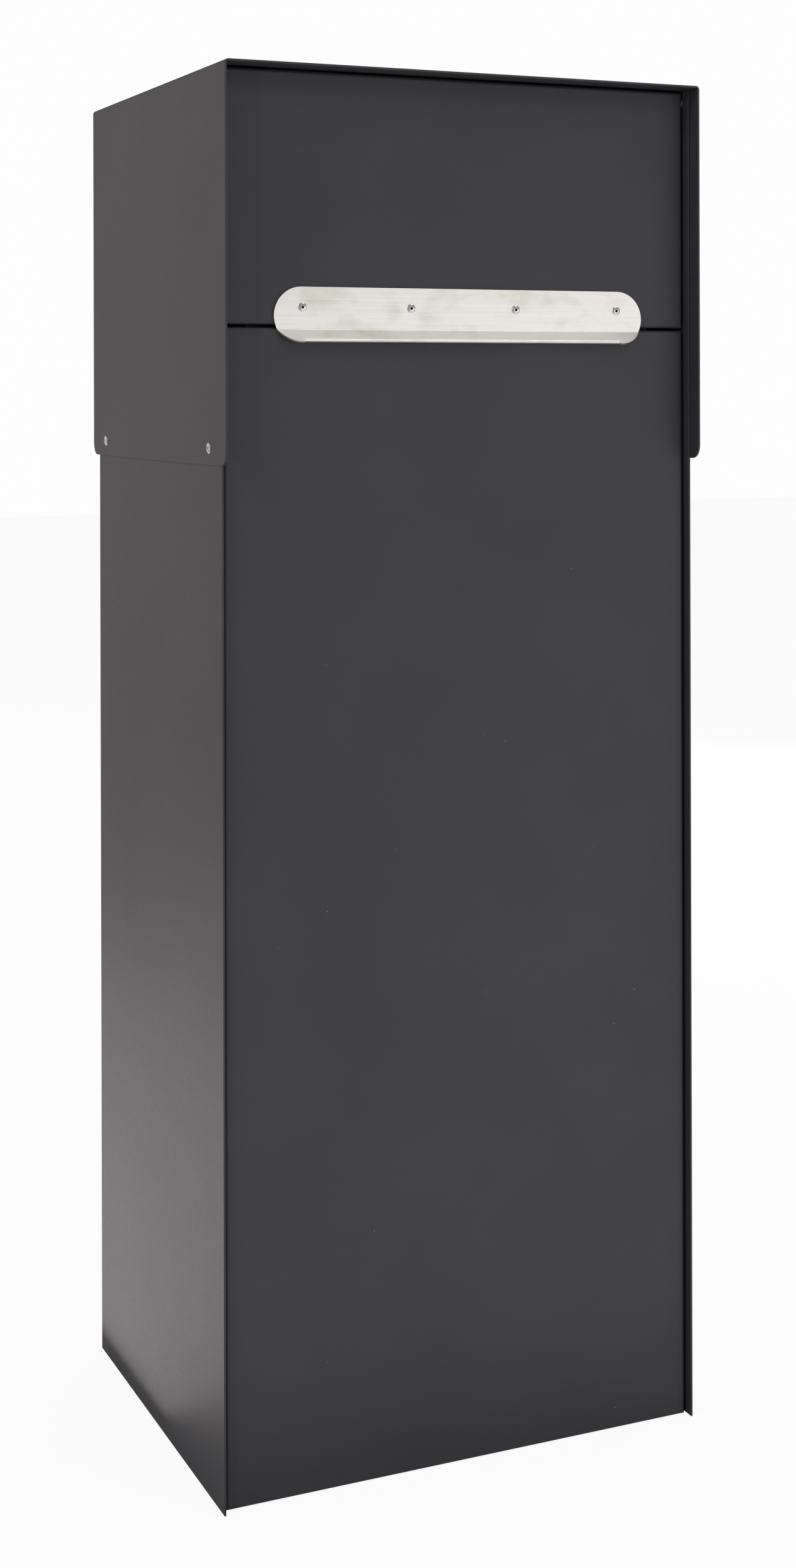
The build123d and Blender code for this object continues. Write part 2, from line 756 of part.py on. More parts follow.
# ---------------------------------------------------------------------- door
door_pivot = (-panel_half + door_pivot_inset, face_out - flap_hinge_setback)
lock_hole = lock_barrel_diameter / 2 + running_clearance
lock_plane = Plane(
    origin=(panel_half - lock_inset, face_out, lock_height),
    x_dir=(-1, 0, 0),
    z_dir=(0, 1, 0),
)
with BuildPart() as door_panel:
    with Locations(Location((0, face_out, door_bottom), (0, 0, 180))):
        add(folded_tray(2 * panel_half, door_top - door_bottom, panel_flange))
    with Locations((*door_pivot, 0)):
        Cylinder(
            door_pin_diameter / 2 + running_clearance, 3 * door_top, mode=Mode.SUBTRACT
        )
    with Locations(lock_plane):
        Cylinder(lock_hole, 3 * sheet, mode=Mode.SUBTRACT)
save(door_panel.part, "door_panel")

door_inner = face_out - sheet
stiffener_back = door_inner - panel_flange + stiffener_relief
stiffener = bent_sheet(
    Plane.XY.offset(door_bottom + stiffener_inset),
    (
        (-stiffener_half_out, door_inner),
        (-stiffener_half, door_inner),
        (-stiffener_half, stiffener_back),
        (stiffener_half, stiffener_back),
        (stiffener_half, door_inner),
        (stiffener_half_out, door_inner),
    ),
    door_top - door_bottom - 2 * stiffener_inset,
    side=Side.RIGHT,
)
save(stiffener, "door_stiffener")

with BuildPart() as door_pivot_pins:
    foot = Plane(origin=(*door_pivot, sheet))
    head = Plane(origin=(*door_pivot, rear_panel_foot), z_dir=(0, 0, -1))
    for seat, gap in ((foot, door_bottom - sheet), (head, door_gap)):
        collar = gap - side_clearance
        add(
            stepped_pin(
                seat,
                (
                    (0, collar, door_pin_diameter + door_pin_collar_step),
                    (collar, gap + door_pin_reach, door_pin_diameter),
                ),
            )
        )
save(door_pivot_pins.part, "door_pivot_pins")

# ---------------------------------------------------------------------- lock
# A cam lock, drawn with its key slot upright and its cam hanging: unlocked.
barrel_length = face_out - jamb_face
cam_back = jamb_face - sheet - cam_gap  # the cam's rear skin
cam_hub = face_out - cam_back
cam_seat = -cam_hub - cam_thickness
core_bore = lock_core_diameter / 2 + running_clearance
with BuildPart() as lock_housing:
    with BuildSketch(lock_plane):
        Circle(lock_barrel_diameter / 2 + lock_flange_margin)
        Circle(core_bore, mode=Mode.SUBTRACT)
    extrude(amount=lock_flange)
    ring_edges = lock_housing.faces().sort_by(Axis.Y)[-1].edges()
    fillet(ring_edges.sort_by(SortBy.LENGTH)[-1], radius=lock_flange_round)
    with BuildSketch(lock_plane):
        Circle(lock_barrel_diameter / 2)
        Circle(core_bore, mode=Mode.SUBTRACT)
    extrude(amount=-barrel_length)
save(lock_housing.part, "lock_housing")

with BuildPart() as lock_nut:
    with BuildSketch(lock_plane.offset(-sheet)):
        RegularPolygon(lock_nut_radius, 6, major_radius=False)
        Circle(lock_hole, mode=Mode.SUBTRACT)
    extrude(amount=-lock_nut_height)
save(lock_nut.part, "lock_nut")

core_front = lock_flange + lock_core_proud
with BuildPart() as lock_core:
    with BuildSketch(lock_plane.offset(core_front)):
        Circle(lock_core_diameter / 2)
    extrude(amount=-(cam_hub + core_front))
    with BuildSketch(lock_plane.offset(-cam_hub)):
        Rectangle(tang, tang)
    extrude(amount=-cam_thickness)
    with BuildSketch(lock_plane.offset(core_front)):
        Rectangle(*key_slot)
    extrude(amount=-key_slot_depth, mode=Mode.SUBTRACT)
    with BuildSketch(lock_plane.offset(cam_seat)):
        Circle(cam_screw_radius + running_clearance)
    extrude(amount=cam_screw_hole_depth, mode=Mode.SUBTRACT)
save(lock_core.part, "lock_core")

square_hole = tang + 2 * running_clearance
with BuildPart() as lock_cam:
    with BuildSketch(lock_plane.offset(-cam_hub)):
        Circle(cam_root_radius)
        with Locations((0, -cam_reach)):
            Circle(cam_tip_radius)
        make_hull()
        Rectangle(square_hole, square_hole, mode=Mode.SUBTRACT)
    extrude(amount=-cam_thickness)
save(lock_cam.part, "lock_cam")

with BuildPart() as cam_screw:
    with BuildSketch(lock_plane.offset(cam_seat)):
        Circle(cam_screw_head_radius)
    extrude(amount=-cam_screw_head_height)
    fillet(cam_screw.faces().sort_by(Axis.Y)[0].edges(), radius=cam_screw_round)
    with BuildSketch(lock_plane.offset(cam_seat - cam_screw_head_height)):
        Rectangle(*cam_screw_slot)
        Rectangle(*reversed(cam_screw_slot))
    extrude(amount=cam_screw_slot_depth, mode=Mode.SUBTRACT)
    with BuildSketch(lock_plane.offset(cam_seat)):
        Circle(cam_screw_radius)
    extrude(amount=cam_screw_length)
save(cam_screw.part, "cam_screw")
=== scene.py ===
# %% [markdown]
# # A parcel drop box in folded, powder-coated steel
# This lesson dresses a finished sheet-metal model. The cabinet, its top-hung
# flap, the tray behind it and the locked door at the back come in as a fixed
# frame that already moves. The work here is in what the eye reads as real:
# rounded paint edges, set blind rivets, a rolled hem, and materials with depth.

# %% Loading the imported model
import bpy
import bmesh
import json
from math import degrees, pi, radians
from mathutils import Matrix, Vector


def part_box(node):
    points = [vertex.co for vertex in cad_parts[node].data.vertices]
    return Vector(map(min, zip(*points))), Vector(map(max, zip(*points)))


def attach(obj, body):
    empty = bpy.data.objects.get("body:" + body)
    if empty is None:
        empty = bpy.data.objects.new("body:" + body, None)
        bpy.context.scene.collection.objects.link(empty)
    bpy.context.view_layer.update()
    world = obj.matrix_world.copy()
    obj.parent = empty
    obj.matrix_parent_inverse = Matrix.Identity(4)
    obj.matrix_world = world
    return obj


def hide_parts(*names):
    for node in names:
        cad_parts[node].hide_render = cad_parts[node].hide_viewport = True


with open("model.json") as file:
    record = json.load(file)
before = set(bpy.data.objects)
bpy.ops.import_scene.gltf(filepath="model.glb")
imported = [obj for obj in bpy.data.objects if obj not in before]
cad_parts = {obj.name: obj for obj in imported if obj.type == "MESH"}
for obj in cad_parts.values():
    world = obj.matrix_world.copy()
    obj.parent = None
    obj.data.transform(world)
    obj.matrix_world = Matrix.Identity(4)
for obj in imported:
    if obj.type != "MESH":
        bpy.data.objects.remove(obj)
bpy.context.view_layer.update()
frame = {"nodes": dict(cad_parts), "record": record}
mm = 0.001
weld_gap = 0.001 * mm  # points closer than this are one
nodes = frame["nodes"]
scene = bpy.context.scene

# %% [markdown]
# ## The camera
# Tall boxes are best shown with the camera level, so that upright edges stay
# upright, and the lens shifted down to bring the foot into view. A tilted
# camera would make the sides lean together instead. This one stands to the
# left, a little under the height of the flap.

# %% A level camera with a lens shift
camera_place = Vector((-0.716, -1.657, 0.795))
camera_turn = radians(-23.71)
camera_roll = radians(-0.143)
lens_length = 51.82  # millimetres, on a 36 mm sensor
lens_shift = -0.2534
camera = bpy.data.objects.new("camera", bpy.data.cameras.new("camera"))
scene.collection.objects.link(camera)
scene.camera = camera
level = Matrix.Rotation(camera_turn, 4, "Z") @ Matrix.Rotation(pi / 2, 4, "X")
camera.matrix_world = (
    Matrix.Translation(camera_place) @ level @ Matrix.Rotation(camera_roll, 4, "Z")
)
camera.data.sensor_width = 36.0
camera.data.lens = lens_length
camera.data.shift_y = lens_shift
camera.data.clip_start = 0.05
camera.data.clip_end = 50.0
print("camera:", round(camera_place.length, 2), "m from the foot, lens", lens_length, "mm")

# %% [markdown]
# ## The surround
# Dark paint has little colour of its own, so what it shows is the room around
# it. The room here is dim and slightly warm, which keeps the steel dark, while
# the camera itself sees plain white. A light-path switch holds the two apart:
# one white surround for both would wash the paint out.

# %% White to the camera and dim to the steel
scene.view_settings.view_transform = "Standard"
room_colour, room_strength = (1.0, 0.975, 0.965, 1.0), 0.36
white_colour, white_strength = (1.0, 1.0, 1.0, 1.0), 0.985
world = bpy.data.worlds.new("studio")
scene.world = world
world.use_nodes = True
room = world.node_tree
room_light = room.nodes["Background"]
room_light.inputs["Color"].default_value = room_colour
room_light.inputs["Strength"].default_value = room_strength
seen_white = room.nodes.new("ShaderNodeBackground")
seen_white.inputs["Color"].default_value = white_colour
seen_white.inputs["Strength"].default_value = white_strength
room_path = room.nodes.new("ShaderNodeLightPath")
room_mix = room.nodes.new("ShaderNodeMixShader")
room.links.new(room_path.outputs["Is Camera Ray"], room_mix.inputs["Fac"])
room.links.new(room_light.outputs["Background"], room_mix.inputs[1])
room.links.new(seen_white.outputs["Background"], room_mix.inputs[2])
room.links.new(room_mix.outputs["Shader"], room.nodes["World Output"].inputs["Surface"])
print("surround: room light", room_strength, "and seen white", white_strength)

# %% [markdown]
# ## The soft boxes
# Each face of the box reflects one part of the room, so each gets a light of
# its own. A broad box ahead on the right fills the front and the steel pull,
# helped by one overhead and by a sheet of light on the floor in front. The
# side wall mirrors what lies low behind it on the left, which is why a strip on
# the floor there lifts its foot. Three small hard ones only draw highlights: on
# the pull's crease, on the rivets and along the edges. Brightness is given per
# area, so that a box can be resized without turning its lamp up or down.

# %% One soft box
white = (1.0, 1.0, 1.0)
lamp_power = 4.0  # watts per square metre at a brightness of 1


def soft_box(name, place, target, size, brightness, colour=white):
    """A rectangular soft box of even brightness, aimed from place at target."""
    light = bpy.data.lights.new(name, "AREA")
    light.shape = "RECTANGLE"
    light.size, light.size_y = size
    light.energy = brightness * lamp_power * size[0] * size[1]
    light.color = colour
    holder = bpy.data.objects.new(name, light)
    scene.collection.objects.link(holder)
    aim = (Vector(target) - Vector(place)).to_track_quat("-Z", "Y")
    holder.matrix_world = Matrix.Translation(place) @ aim.to_matrix().to_4x4()
    holder.visible_camera = False
    return holder


print("a soft box takes a place, a target, a size in metres and a brightness")

# %% [markdown]
# ## Setting them up
# The rows read like a lighting plan: where each box stands, what it looks at,
# how wide and high it is, how bright, and its tint. The box behind on the left
# and the strip on the floor are tinted pink, because the side wall is the one
# warm face, and the rest are close to white.

# %% The lighting plan
lighting_plan = (
    # name, place, target, size, brightness, tint
    ("front_box", (1.36, -2.2, 0.60), (0.0, -0.15, 0.60), (2.4, 1.10), 0.72, (1.0, 0.985, 0.985)),
    ("front_strip", (0.50, -1.0, 0.01), (0.50, -1.0, 1.0), (1.5, 1.5), 0.28, (1.0, 0.99, 0.95)),
    ("top_box", (0.75, -0.60, 2.3), (0.0, -0.15, 0.83), (1.8, 1.2), 0.38, (1.0, 0.99, 0.94)),
    ("crease_spark", (0.86, -1.45, 2.15), (0.0, -0.15, 0.83), (0.45, 0.22), 6.0, white),
    ("back_left_box", (-1.5, 2.6, 1.1), (-0.2, 0.0, 0.7), (2.4, 2.0), 0.36, (1.0, 0.85, 0.83)),
    (
        "floor_strip", (-0.527, 0.645, 0.01), (-0.527, 0.645, 1.0), (0.656, 1.31), 1.13,
        (1.0, 0.92, 0.92),
    ),
    ("side_spark", (-1.6, -0.6, 1.9), (-0.2, 0.0, 0.75), (0.35, 0.35), 12.0, white),
    ("edge_strip", (-2.1, -1.25, 0.95), (0.0, -0.1, 0.75), (0.12, 1.9), 7.0, white),
    ("back_right_box", (2.2, 2.2, 1.3), (0.0, 0.0, 0.6), (2.4, 2.0), 1.3, (1.0, 0.985, 0.97)),
)
for row in lighting_plan:
    soft_box(*row)
print("soft boxes:", len(bpy.data.lights))

# %% [markdown]
# ## A bare material
# Every finish below starts as one shader with a colour, a roughness and a
# share of metal. A helper makes that start once, so each recipe holds only
# what is its own.

# %% A material whose only node is its shader
def plain_material(name, colour, roughness, metallic=0.0):
    """A material with nothing but its shader: (material, node tree, shader)."""
    material = bpy.data.materials.new(name)
    material.use_nodes = True
    tree = material.node_tree
    shader = tree.nodes["Principled BSDF"]
    shader.inputs["Base Color"].default_value = (*colour, 1.0)
    shader.inputs["Roughness"].default_value = roughness
    shader.inputs["Metallic"].default_value = metallic
    return material, tree, shader


print("a bare material takes a name, a colour, a roughness and a share of metal")

# %% [markdown]
# ## The floor
# A white sweep has no horizon and hardly a shadow. Most of what the camera sees
# of this floor is plain white light, and the rest is ordinary matt white that
# still catches a soft contact shadow round the foot. It lies a hair under the
# base plate, so that the two never fight for the same place.

# %% A white floor with a faint contact shadow
floor_half = 12.0
floor_drop = 0.2 * mm
floor_paint, floor_roughness = (0.85, 0.85, 0.85), 0.9
floor_glow = 1.045  # strength of the plain white
floor_glow_share = 0.88  # of what the camera sees
floor_bm = bmesh.new()
bmesh.ops.create_grid(floor_bm, x_segments=1, y_segments=1, size=floor_half)
floor_mesh = bpy.data.meshes.new("floor")
floor_bm.to_mesh(floor_mesh)
floor_bm.free()
floor = bpy.data.objects.new("floor", floor_mesh)
floor.location.z = -floor_drop
scene.collection.objects.link(floor)
floor_white, sweep, sweep_shader = plain_material("floor_white", floor_paint, floor_roughness)
sweep_glow = sweep.nodes.new("ShaderNodeEmission")
sweep_glow.inputs["Strength"].default_value = floor_glow
sweep_path = sweep.nodes.new("ShaderNodeLightPath")
sweep_share = sweep.nodes.new("ShaderNodeMath")
sweep_share.operation = "MULTIPLY"
sweep_share.inputs[1].default_value = floor_glow_share
sweep_mix = sweep.nodes.new("ShaderNodeMixShader")
sweep.links.new(sweep_path.outputs["Is Camera Ray"], sweep_share.inputs[0])
sweep.links.new(sweep_share.outputs["Value"], sweep_mix.inputs["Fac"])
sweep.links.new(sweep_shader.outputs["BSDF"], sweep_mix.inputs[1])
sweep.links.new(sweep_glow.outputs["Emission"], sweep_mix.inputs[2])
sweep.links.new(sweep_mix.outputs["Shader"], sweep.nodes["Material Output"].inputs["Surface"])
floor_mesh.materials.append(floor_white)
print("floor:", 2 * floor_half, "m square")

# %% [markdown]
# ## Reading a pattern off the steel itself
# Every finish below is a few noises read at the object's own coordinates, in
# metres, so the grain keeps its true size on every piece and needs no unwrap.
# Image textures would need both an unwrap and a file.

# %% Where a pattern is read, and the noise read there
def pattern(tree, stretch=(1.0, 1.0, 1.0)):
    """Object coordinates, stretched along the axes, as a socket."""
    place = tree.nodes.new("ShaderNodeTexCoord")
    mapping = tree.nodes.new("ShaderNodeMapping")
    mapping.inputs["Scale"].default_value = stretch
    tree.links.new(place.outputs["Object"], mapping.inputs["Vector"])
    return mapping.outputs["Vector"]


def noise(tree, where, scale, detail=2.0, roughness=0.5):
    """A noise of about 1 / scale metres, read at a coordinate socket."""
    node = tree.nodes.new("ShaderNodeTexNoise")
    node.inputs["Scale"].default_value = scale
    node.inputs["Detail"].default_value = detail
    node.inputs["Roughness"].default_value = roughness
    tree.links.new(where, node.inputs["Vector"])
    return node.outputs["Fac"]


print("a noise of scale 1000 has grains about", round(1 / 1000 / mm, 1), "mm across")

# %% [markdown]
# ## Turning noise into colour, gloss and relief
# A noise runs from 0 to 1 and bunches in the middle, so it is first stretched
# to the range that is wanted. Colours are mixed by it, roughness follows it
# directly, and a bump node reads it as height, in metres.

# %% Between, mixed, product and relief
noise_middle = (0.3, 0.7)  # the range that most of a noise lies in


def between(tree, value, low, high, to_low, to_high):
    """Value read from low..high, given out as to_low..to_high, and clamped."""
    node = tree.nodes.new("ShaderNodeMapRange")
    limits = {"From Min": low, "From Max": high, "To Min": to_low, "To Max": to_high}
    for name, number in limits.items():
        node.inputs[name].default_value = number
    tree.links.new(value, node.inputs["Value"])
    return node.outputs["Result"]


def mixed(tree, factor, first, second):
    """A colour between two, each a socket or three numbers."""
    node = tree.nodes.new("ShaderNodeMix")
    node.data_type = "RGBA"
    tree.links.new(factor, node.inputs["Factor"])
    for name, colour in (("A", first), ("B", second)):
        socket = next(s for s in node.inputs if s.name == name and s.type == "RGBA")
        if isinstance(colour, tuple):
            socket.default_value = (*colour, 1.0)
        else:
            tree.links.new(colour, socket)
    return next(s for s in node.outputs if s.type == "RGBA")


def product(tree, first, second):
    """Two values multiplied."""
    node = tree.nodes.new("ShaderNodeMath")
    node.operation = "MULTIPLY"
    tree.links.new(first, node.inputs[0])
    tree.links.new(second, node.inputs[1])
    return node.outputs["Value"]


def relief(tree, shader, height, depth, strength=1.0):
    """Bumps of that depth, in metres, on the shader's normal."""
    bump = tree.nodes.new("ShaderNodeBump")
    bump.inputs["Strength"].default_value = strength
    bump.inputs["Distance"].default_value = depth
    tree.links.new(height, bump.inputs["Height"])
    tree.links.new(bump.outputs["Normal"], shader.inputs["Normal"])


print("four ways to use a value: between, mixed, product and relief")

# %% [markdown]
# ## Powder coat
# Fine-texture powder melts into a skin of tiny rounded grains, under a
# millimetre across. Its grains scatter the highlight, so the paint is matt in
# the middle and a little brighter at a glancing angle. A slow noise varies the
# tone as a real coating does, and a sparse scatter of dust settles on it. The
# dust is a cell pattern of which only a few cells win a lottery.

# %% The powder coat
coat_base = (0.036, 0.036, 0.039)
coat_dark, coat_light = (0.0335, 0.0335, 0.0395), (0.0395, 0.0390, 0.0450)
grain_light = (0.085, 0.085, 0.088)
dust_colour = (0.33, 0.32, 0.30)
cloud_scale, grain_scale, dust_scale = 9.0, 1500.0, 55.0
grain_depth = 0.12 * mm
coat_roughness = (0.46, 0.60)
bare_roughness = 0.52
dust_edge = (0.018, 0.034)  # in cells, where a speck starts to fade and where it ends
dust_lottery = (0.80, 0.86)  # a lower draw gets no speck, a higher one a full speck
dust_strength, grain_strength = 0.55, 0.35


def powder_coat():
    """Anthracite powder coat: slow clouds, fine grains, a little dust."""
    material, tree, shader = plain_material("powder_coat_anthracite", coat_base, bare_roughness)
    where = pattern(tree)
    cloud = noise(tree, where, cloud_scale, 3.0)
    clouded = between(tree, cloud, 0.35, 0.65, 0.0, 1.0)
    tone = mixed(tree, clouded, coat_dark, coat_light)
    grain = noise(tree, where, grain_scale, 2.0, 0.6)
    bright = between(tree, grain, 0.62, 0.78, 0.0, grain_strength)
    tone = mixed(tree, bright, tone, grain_light)
    cells = tree.nodes.new("ShaderNodeTexVoronoi")
    cells.inputs["Scale"].default_value = dust_scale
    tree.links.new(where, cells.inputs["Vector"])
    spot = between(tree, cells.outputs["Distance"], *dust_edge, 1.0, 0.0)
    lottery = tree.nodes.new("ShaderNodeSeparateColor")
    tree.links.new(cells.outputs["Color"], lottery.inputs["Color"])
    chosen = between(tree, lottery.outputs["Red"], *dust_lottery, 0.0, dust_strength)
    tone = mixed(tree, product(tree, spot, chosen), tone, dust_colour)
    tree.links.new(tone, shader.inputs["Base Color"])
    matt = between(tree, grain, *noise_middle, *coat_roughness)
    tree.links.new(matt, shader.inputs["Roughness"])
    relief(tree, shader, grain, grain_depth, 0.55)
    return material


finishes = {"powder_coat": powder_coat()}
print("powder coat: grains of", round(1 / grain_scale / mm, 2), "mm")

# %% [markdown]
# ## Brushed stainless steel
# A belt draws thousands of fine scratches along the sheet, so the noise is
# stretched a hundredfold along X. Handling leaves faint grey-brown smudges,
# which a second, slow noise lays over the brushed colour.

# %% The stainless sheet
steel_base = (0.80, 0.79, 0.77)
steel_dark, steel_light = (0.83, 0.815, 0.79), (0.88, 0.865, 0.84)
smudge_colour = (0.735, 0.725, 0.655)
brushing = (12.0, 1600.0, 1600.0)  # scratches per metre along X, Y and Z
smudge_stretch, smudge_scale = (1.0, 1.0, 1.6), 38.0
scratch_depth = 0.02 * mm
steel_roughness = (0.26, 0.40)


def brushed_stainless():
    """Brushed stainless sheet: long scratches along X, and smudges."""
    material, tree, shader = plain_material("brushed_stainless", steel_base, 0.3, 1.0)
    streak = noise(tree, pattern(tree, brushing), 1.0, 3.0, 0.6)
    smudge = noise(tree, pattern(tree, smudge_stretch), smudge_scale, 3.0, 0.55)
    touched = between(tree, smudge, 0.50, 0.72, 0.0, 1.0)
    streaked = between(tree, streak, *noise_middle, 0.0, 1.0)
    clean = mixed(tree, streaked, steel_dark, steel_light)
    handled = mixed(tree, touched, clean, smudge_colour)
    tree.links.new(handled, shader.inputs["Base Color"])
    gloss = between(tree, streak, 0.25, 0.75, *steel_roughness)
    tree.links.new(gloss, shader.inputs["Roughness"])
    relief(tree, shader, streak, scratch_depth, 0.5)
    return material


finishes["brushed_stainless"] = brushed_stainless()
print("brushed stainless:", brushing[1], "scratches to the metre across the grain")

# %% [markdown]
# ## Small hardware
# Aluminium rivets are tumbled bright and pick up tiny dents. Zinc plate is
# bluer and slightly mottled where the crystals differ. The lock is satin
# nickel, turned on a lathe, and the buffers are matt black rubber. The snapped
# mandrels are dull torn steel, and their near-black colour is also painted
# shade of the bore they sit in. One mottled recipe serves all the metals, with
# the numbers in a table, because they differ in nothing else.

# %% One recipe, tuned for each metal
metals = {
    # dark tone, light tone, mottle scale, roughness from and to, depth of relief
    "rivet_aluminium": ((0.60, 0.60, 0.61), (0.78, 0.78, 0.78), 700.0, 0.12, 0.24, 0.03 * mm),
    "zinc_plate": ((0.42, 0.44, 0.47), (0.62, 0.63, 0.62), 260.0, 0.28, 0.46, 0.02 * mm),
    "lock_nickel": ((0.56, 0.55, 0.52), (0.66, 0.65, 0.62), 900.0, 0.20, 0.34, 0.01 * mm),
    # mandrel stubs: dull torn steel, darkened to near black as painted shade of the bore
    "torn_steel": ((0.020, 0.020, 0.020), (0.055, 0.053, 0.050), 900.0, 0.50, 0.70, 0.03 * mm),
}


def metal(name, dark, light, scale, smooth, rough, depth):
    """A mottled metal, duller where it is darker."""
    material, tree, shader = plain_material(name, light, smooth, 1.0)
    mottle = noise(tree, pattern(tree), scale, 4.0, 0.6)
    mottled = between(tree, mottle, *noise_middle, 0.0, 1.0)
    tree.links.new(mixed(tree, mottled, dark, light), shader.inputs["Base Color"])
    dulled = between(tree, mottle, *noise_middle, rough, smooth)
    tree.links.new(dulled, shader.inputs["Roughness"])
    relief(tree, shader, mottle, depth, 0.4)
    return material


for name, recipe in metals.items():
    finishes[name] = metal(name, *recipe)
print("metals:", ", ".join(metals))

# %% [markdown]
# ## Rubber
# Moulded rubber is nearly black and has a fine, dull skin. Colour does little
# for it, so its whole look is in the roughness and in a very fine relief.

# %% The buffers' rubber
rubber_black = (0.018, 0.018, 0.018)
rubber_skin_scale = 2200.0
rubber_depth = 0.08 * mm
rubber_roughness = (0.68, 0.85)


def rubber():
    """Matt black rubber with a fine moulded skin."""
    material, tree, shader = plain_material("buffer_rubber", rubber_black, 0.75)
    skin = noise(tree, pattern(tree), rubber_skin_scale, 2.0)
    dull = between(tree, skin, *noise_middle, *rubber_roughness)
    tree.links.new(dull, shader.inputs["Roughness"])
    relief(tree, shader, skin, rubber_depth, 0.6)
    return material


finishes["buffer_rubber"] = rubber()
print("finishes:", ", ".join(finishes))

# %% [markdown]
# ## Each node its finish
# The model says which material every part is made of and which body it moves
# with. Both are looked up by name, so no list of parts has to be kept here.

# %% Finishes on the model's own nodes
slot_of = {part["node"]: part["material_slot"] for part in frame["record"]["subparts"]}
body_of = {
    name: body
    for body, names in frame["record"]["behaviour"]["bodies"].items()
    for name in names
}
for name, node in nodes.items():
    node.data.materials.clear()
    node.data.materials.append(finishes[slot_of[name]])
print("finished nodes:", len(nodes))

# %% [markdown]
# ## Edges that have been painted
# Sheared sheet is never knife-sharp, and paint rounds it further: a radius of
# about a quarter of a millimetre draws the thin light line that outlines every
# panel. Each piece is a merged copy of its node with its flat triangles
# dissolved and a small bevel on every edge sharper than a bend's own facets.
# Slivers that the bevel leaves are welded shut. Weighted normals then keep the
# big faces truly flat, because without them the shading of a bend would bleed
# across the whole panel.

# %% A merged copy, and its softened object
flat_enough = radians(0.5)  # faces nearer than this to flat become one
bend_facet = 28.0  # degrees, more than between the facets of a bend
edge_rings = 3


def merged(name):
    """A bmesh of a CAD node with its doubles merged and its flat triangles dissolved."""
    bm = bmesh.new()
    bm.from_mesh(nodes[name].data)
    bmesh.ops.remove_doubles(bm, verts=bm.verts, dist=weld_gap)
    bmesh.ops.dissolve_limit(bm, angle_limit=flat_enough, verts=bm.verts, edges=bm.edges)
    return bm


def softened(name, bm, radius, clamp=True):
    """The object that stands for a CAD node, with softened edges and flat faces."""
    mesh = bpy.data.meshes.new(name + "_finished")
    for face in bm.faces:
        face.smooth = True
    bm.to_mesh(mesh)
    bm.free()
    mesh.materials.append(finishes[slot_of[name]])
    piece = bpy.data.objects.new(name + "_finished", mesh)
    scene.collection.objects.link(piece)
    bevel = piece.modifiers.new("paint edge", "BEVEL")
    bevel.width = radius
    bevel.segments = edge_rings
    bevel.limit_method = "ANGLE"
    bevel.angle_limit = radians(bend_facet)
    bevel.use_clamp_overlap = clamp
    weld = piece.modifiers.new("no slivers", "WELD")
    weld.merge_threshold = weld_gap
    flat = piece.modifiers.new("flat faces stay flat", "WEIGHTED_NORMAL")
    flat.mode = "FACE_AREA"
    flat.weight = 100
    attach(piece, body_of[name])
    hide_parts(name)
    return piece


print("an edge is softened where its faces meet at more than", bend_facet, "degrees")

# %% [markdown]
# ## How round each edge is
# Paint and moulding leave the roundest edges, and plating hardly rounds any. The
# walls, plates, posts and jambs get a bolder round than the panels they frame,
# so that the line of light along each opening stays wide enough to be seen.

# %% Softened copies of the sheet-metal pieces and the hardware
edge_radius = {
    "powder_coat": 0.28 * mm,
    "zinc_plate": 0.15 * mm,
    "lock_nickel": 0.12 * mm,
    "buffer_rubber": 0.3 * mm,
}
bold_radius = 0.5 * mm
bold_edges = [
    "left_side_wall", "right_side_wall", "top_plate", "base_plate",
    "front_post_left", "front_post_right", "rear_jamb_left", "rear_jamb_right",
]
by_rule = [name for name in nodes if slot_of[name] in edge_radius]
for name in by_rule:
    if name in bold_edges:
        softened(name, merged(name), bold_radius, clamp=False)
    else:
        softened(name, merged(name), edge_radius[slot_of[name]])
print("softened:", len(by_rule), "pieces,", len(bold_edges), "of them with a bold edge")

# %% [markdown]
# ## The pull
# The handle is one strip of stainless sheet: an upright plate, a lip creased
# outwards for the fingers, and a hem where the lip's edge is folded back on
# itself so that it isn't sharp. A folded edge is a full round, not a square
# end, so the hem's long outer corner gets a deep bevel, which carries the bright
# line along its foot. That corner is found by the directions its two faces
# look in.

# %% Finding the hem's outer corner
lip_face = Vector((0.0, -0.78, 0.63))
hem_face = Vector((0.0, -0.63, -0.78))
hem_shortest = 50 * mm
looks_alike = 0.97  # the cosine of about 14 degrees


def faces_both(edge, first, second):
    """Whether an edge's two faces look along two directions, either way round."""
    if len(edge.link_faces) != 2:
        return False
    one, other = (face.normal for face in edge.link_faces)
    straight = one.dot(first) > looks_alike and other.dot(second) > looks_alike
    return straight or (one.dot(second) > looks_alike and other.dot(first) > looks_alike)


def hem_corners(bm):
    """The long corner edges between the lip and the hem."""
    return [
        edge
        for edge in bm.edges
        if edge.calc_length() > hem_shortest and faces_both(edge, lip_face, hem_face)
    ]


pull = merged("handle_plate")
hem_end = max(vert.co.x for edge in hem_corners(pull) for vert in edge.verts)
print("hem's outer corner: out to", round(hem_end / mm, 1), "mm from the middle")

# %% [markdown]
# ## Rolling the hem
# A bevel slides its new edges along the ones that meet it, and at the hem's two
# ends the flat of the lip has no such edge. So the strip is first cut across
# where the hem stops, and then bevelled.

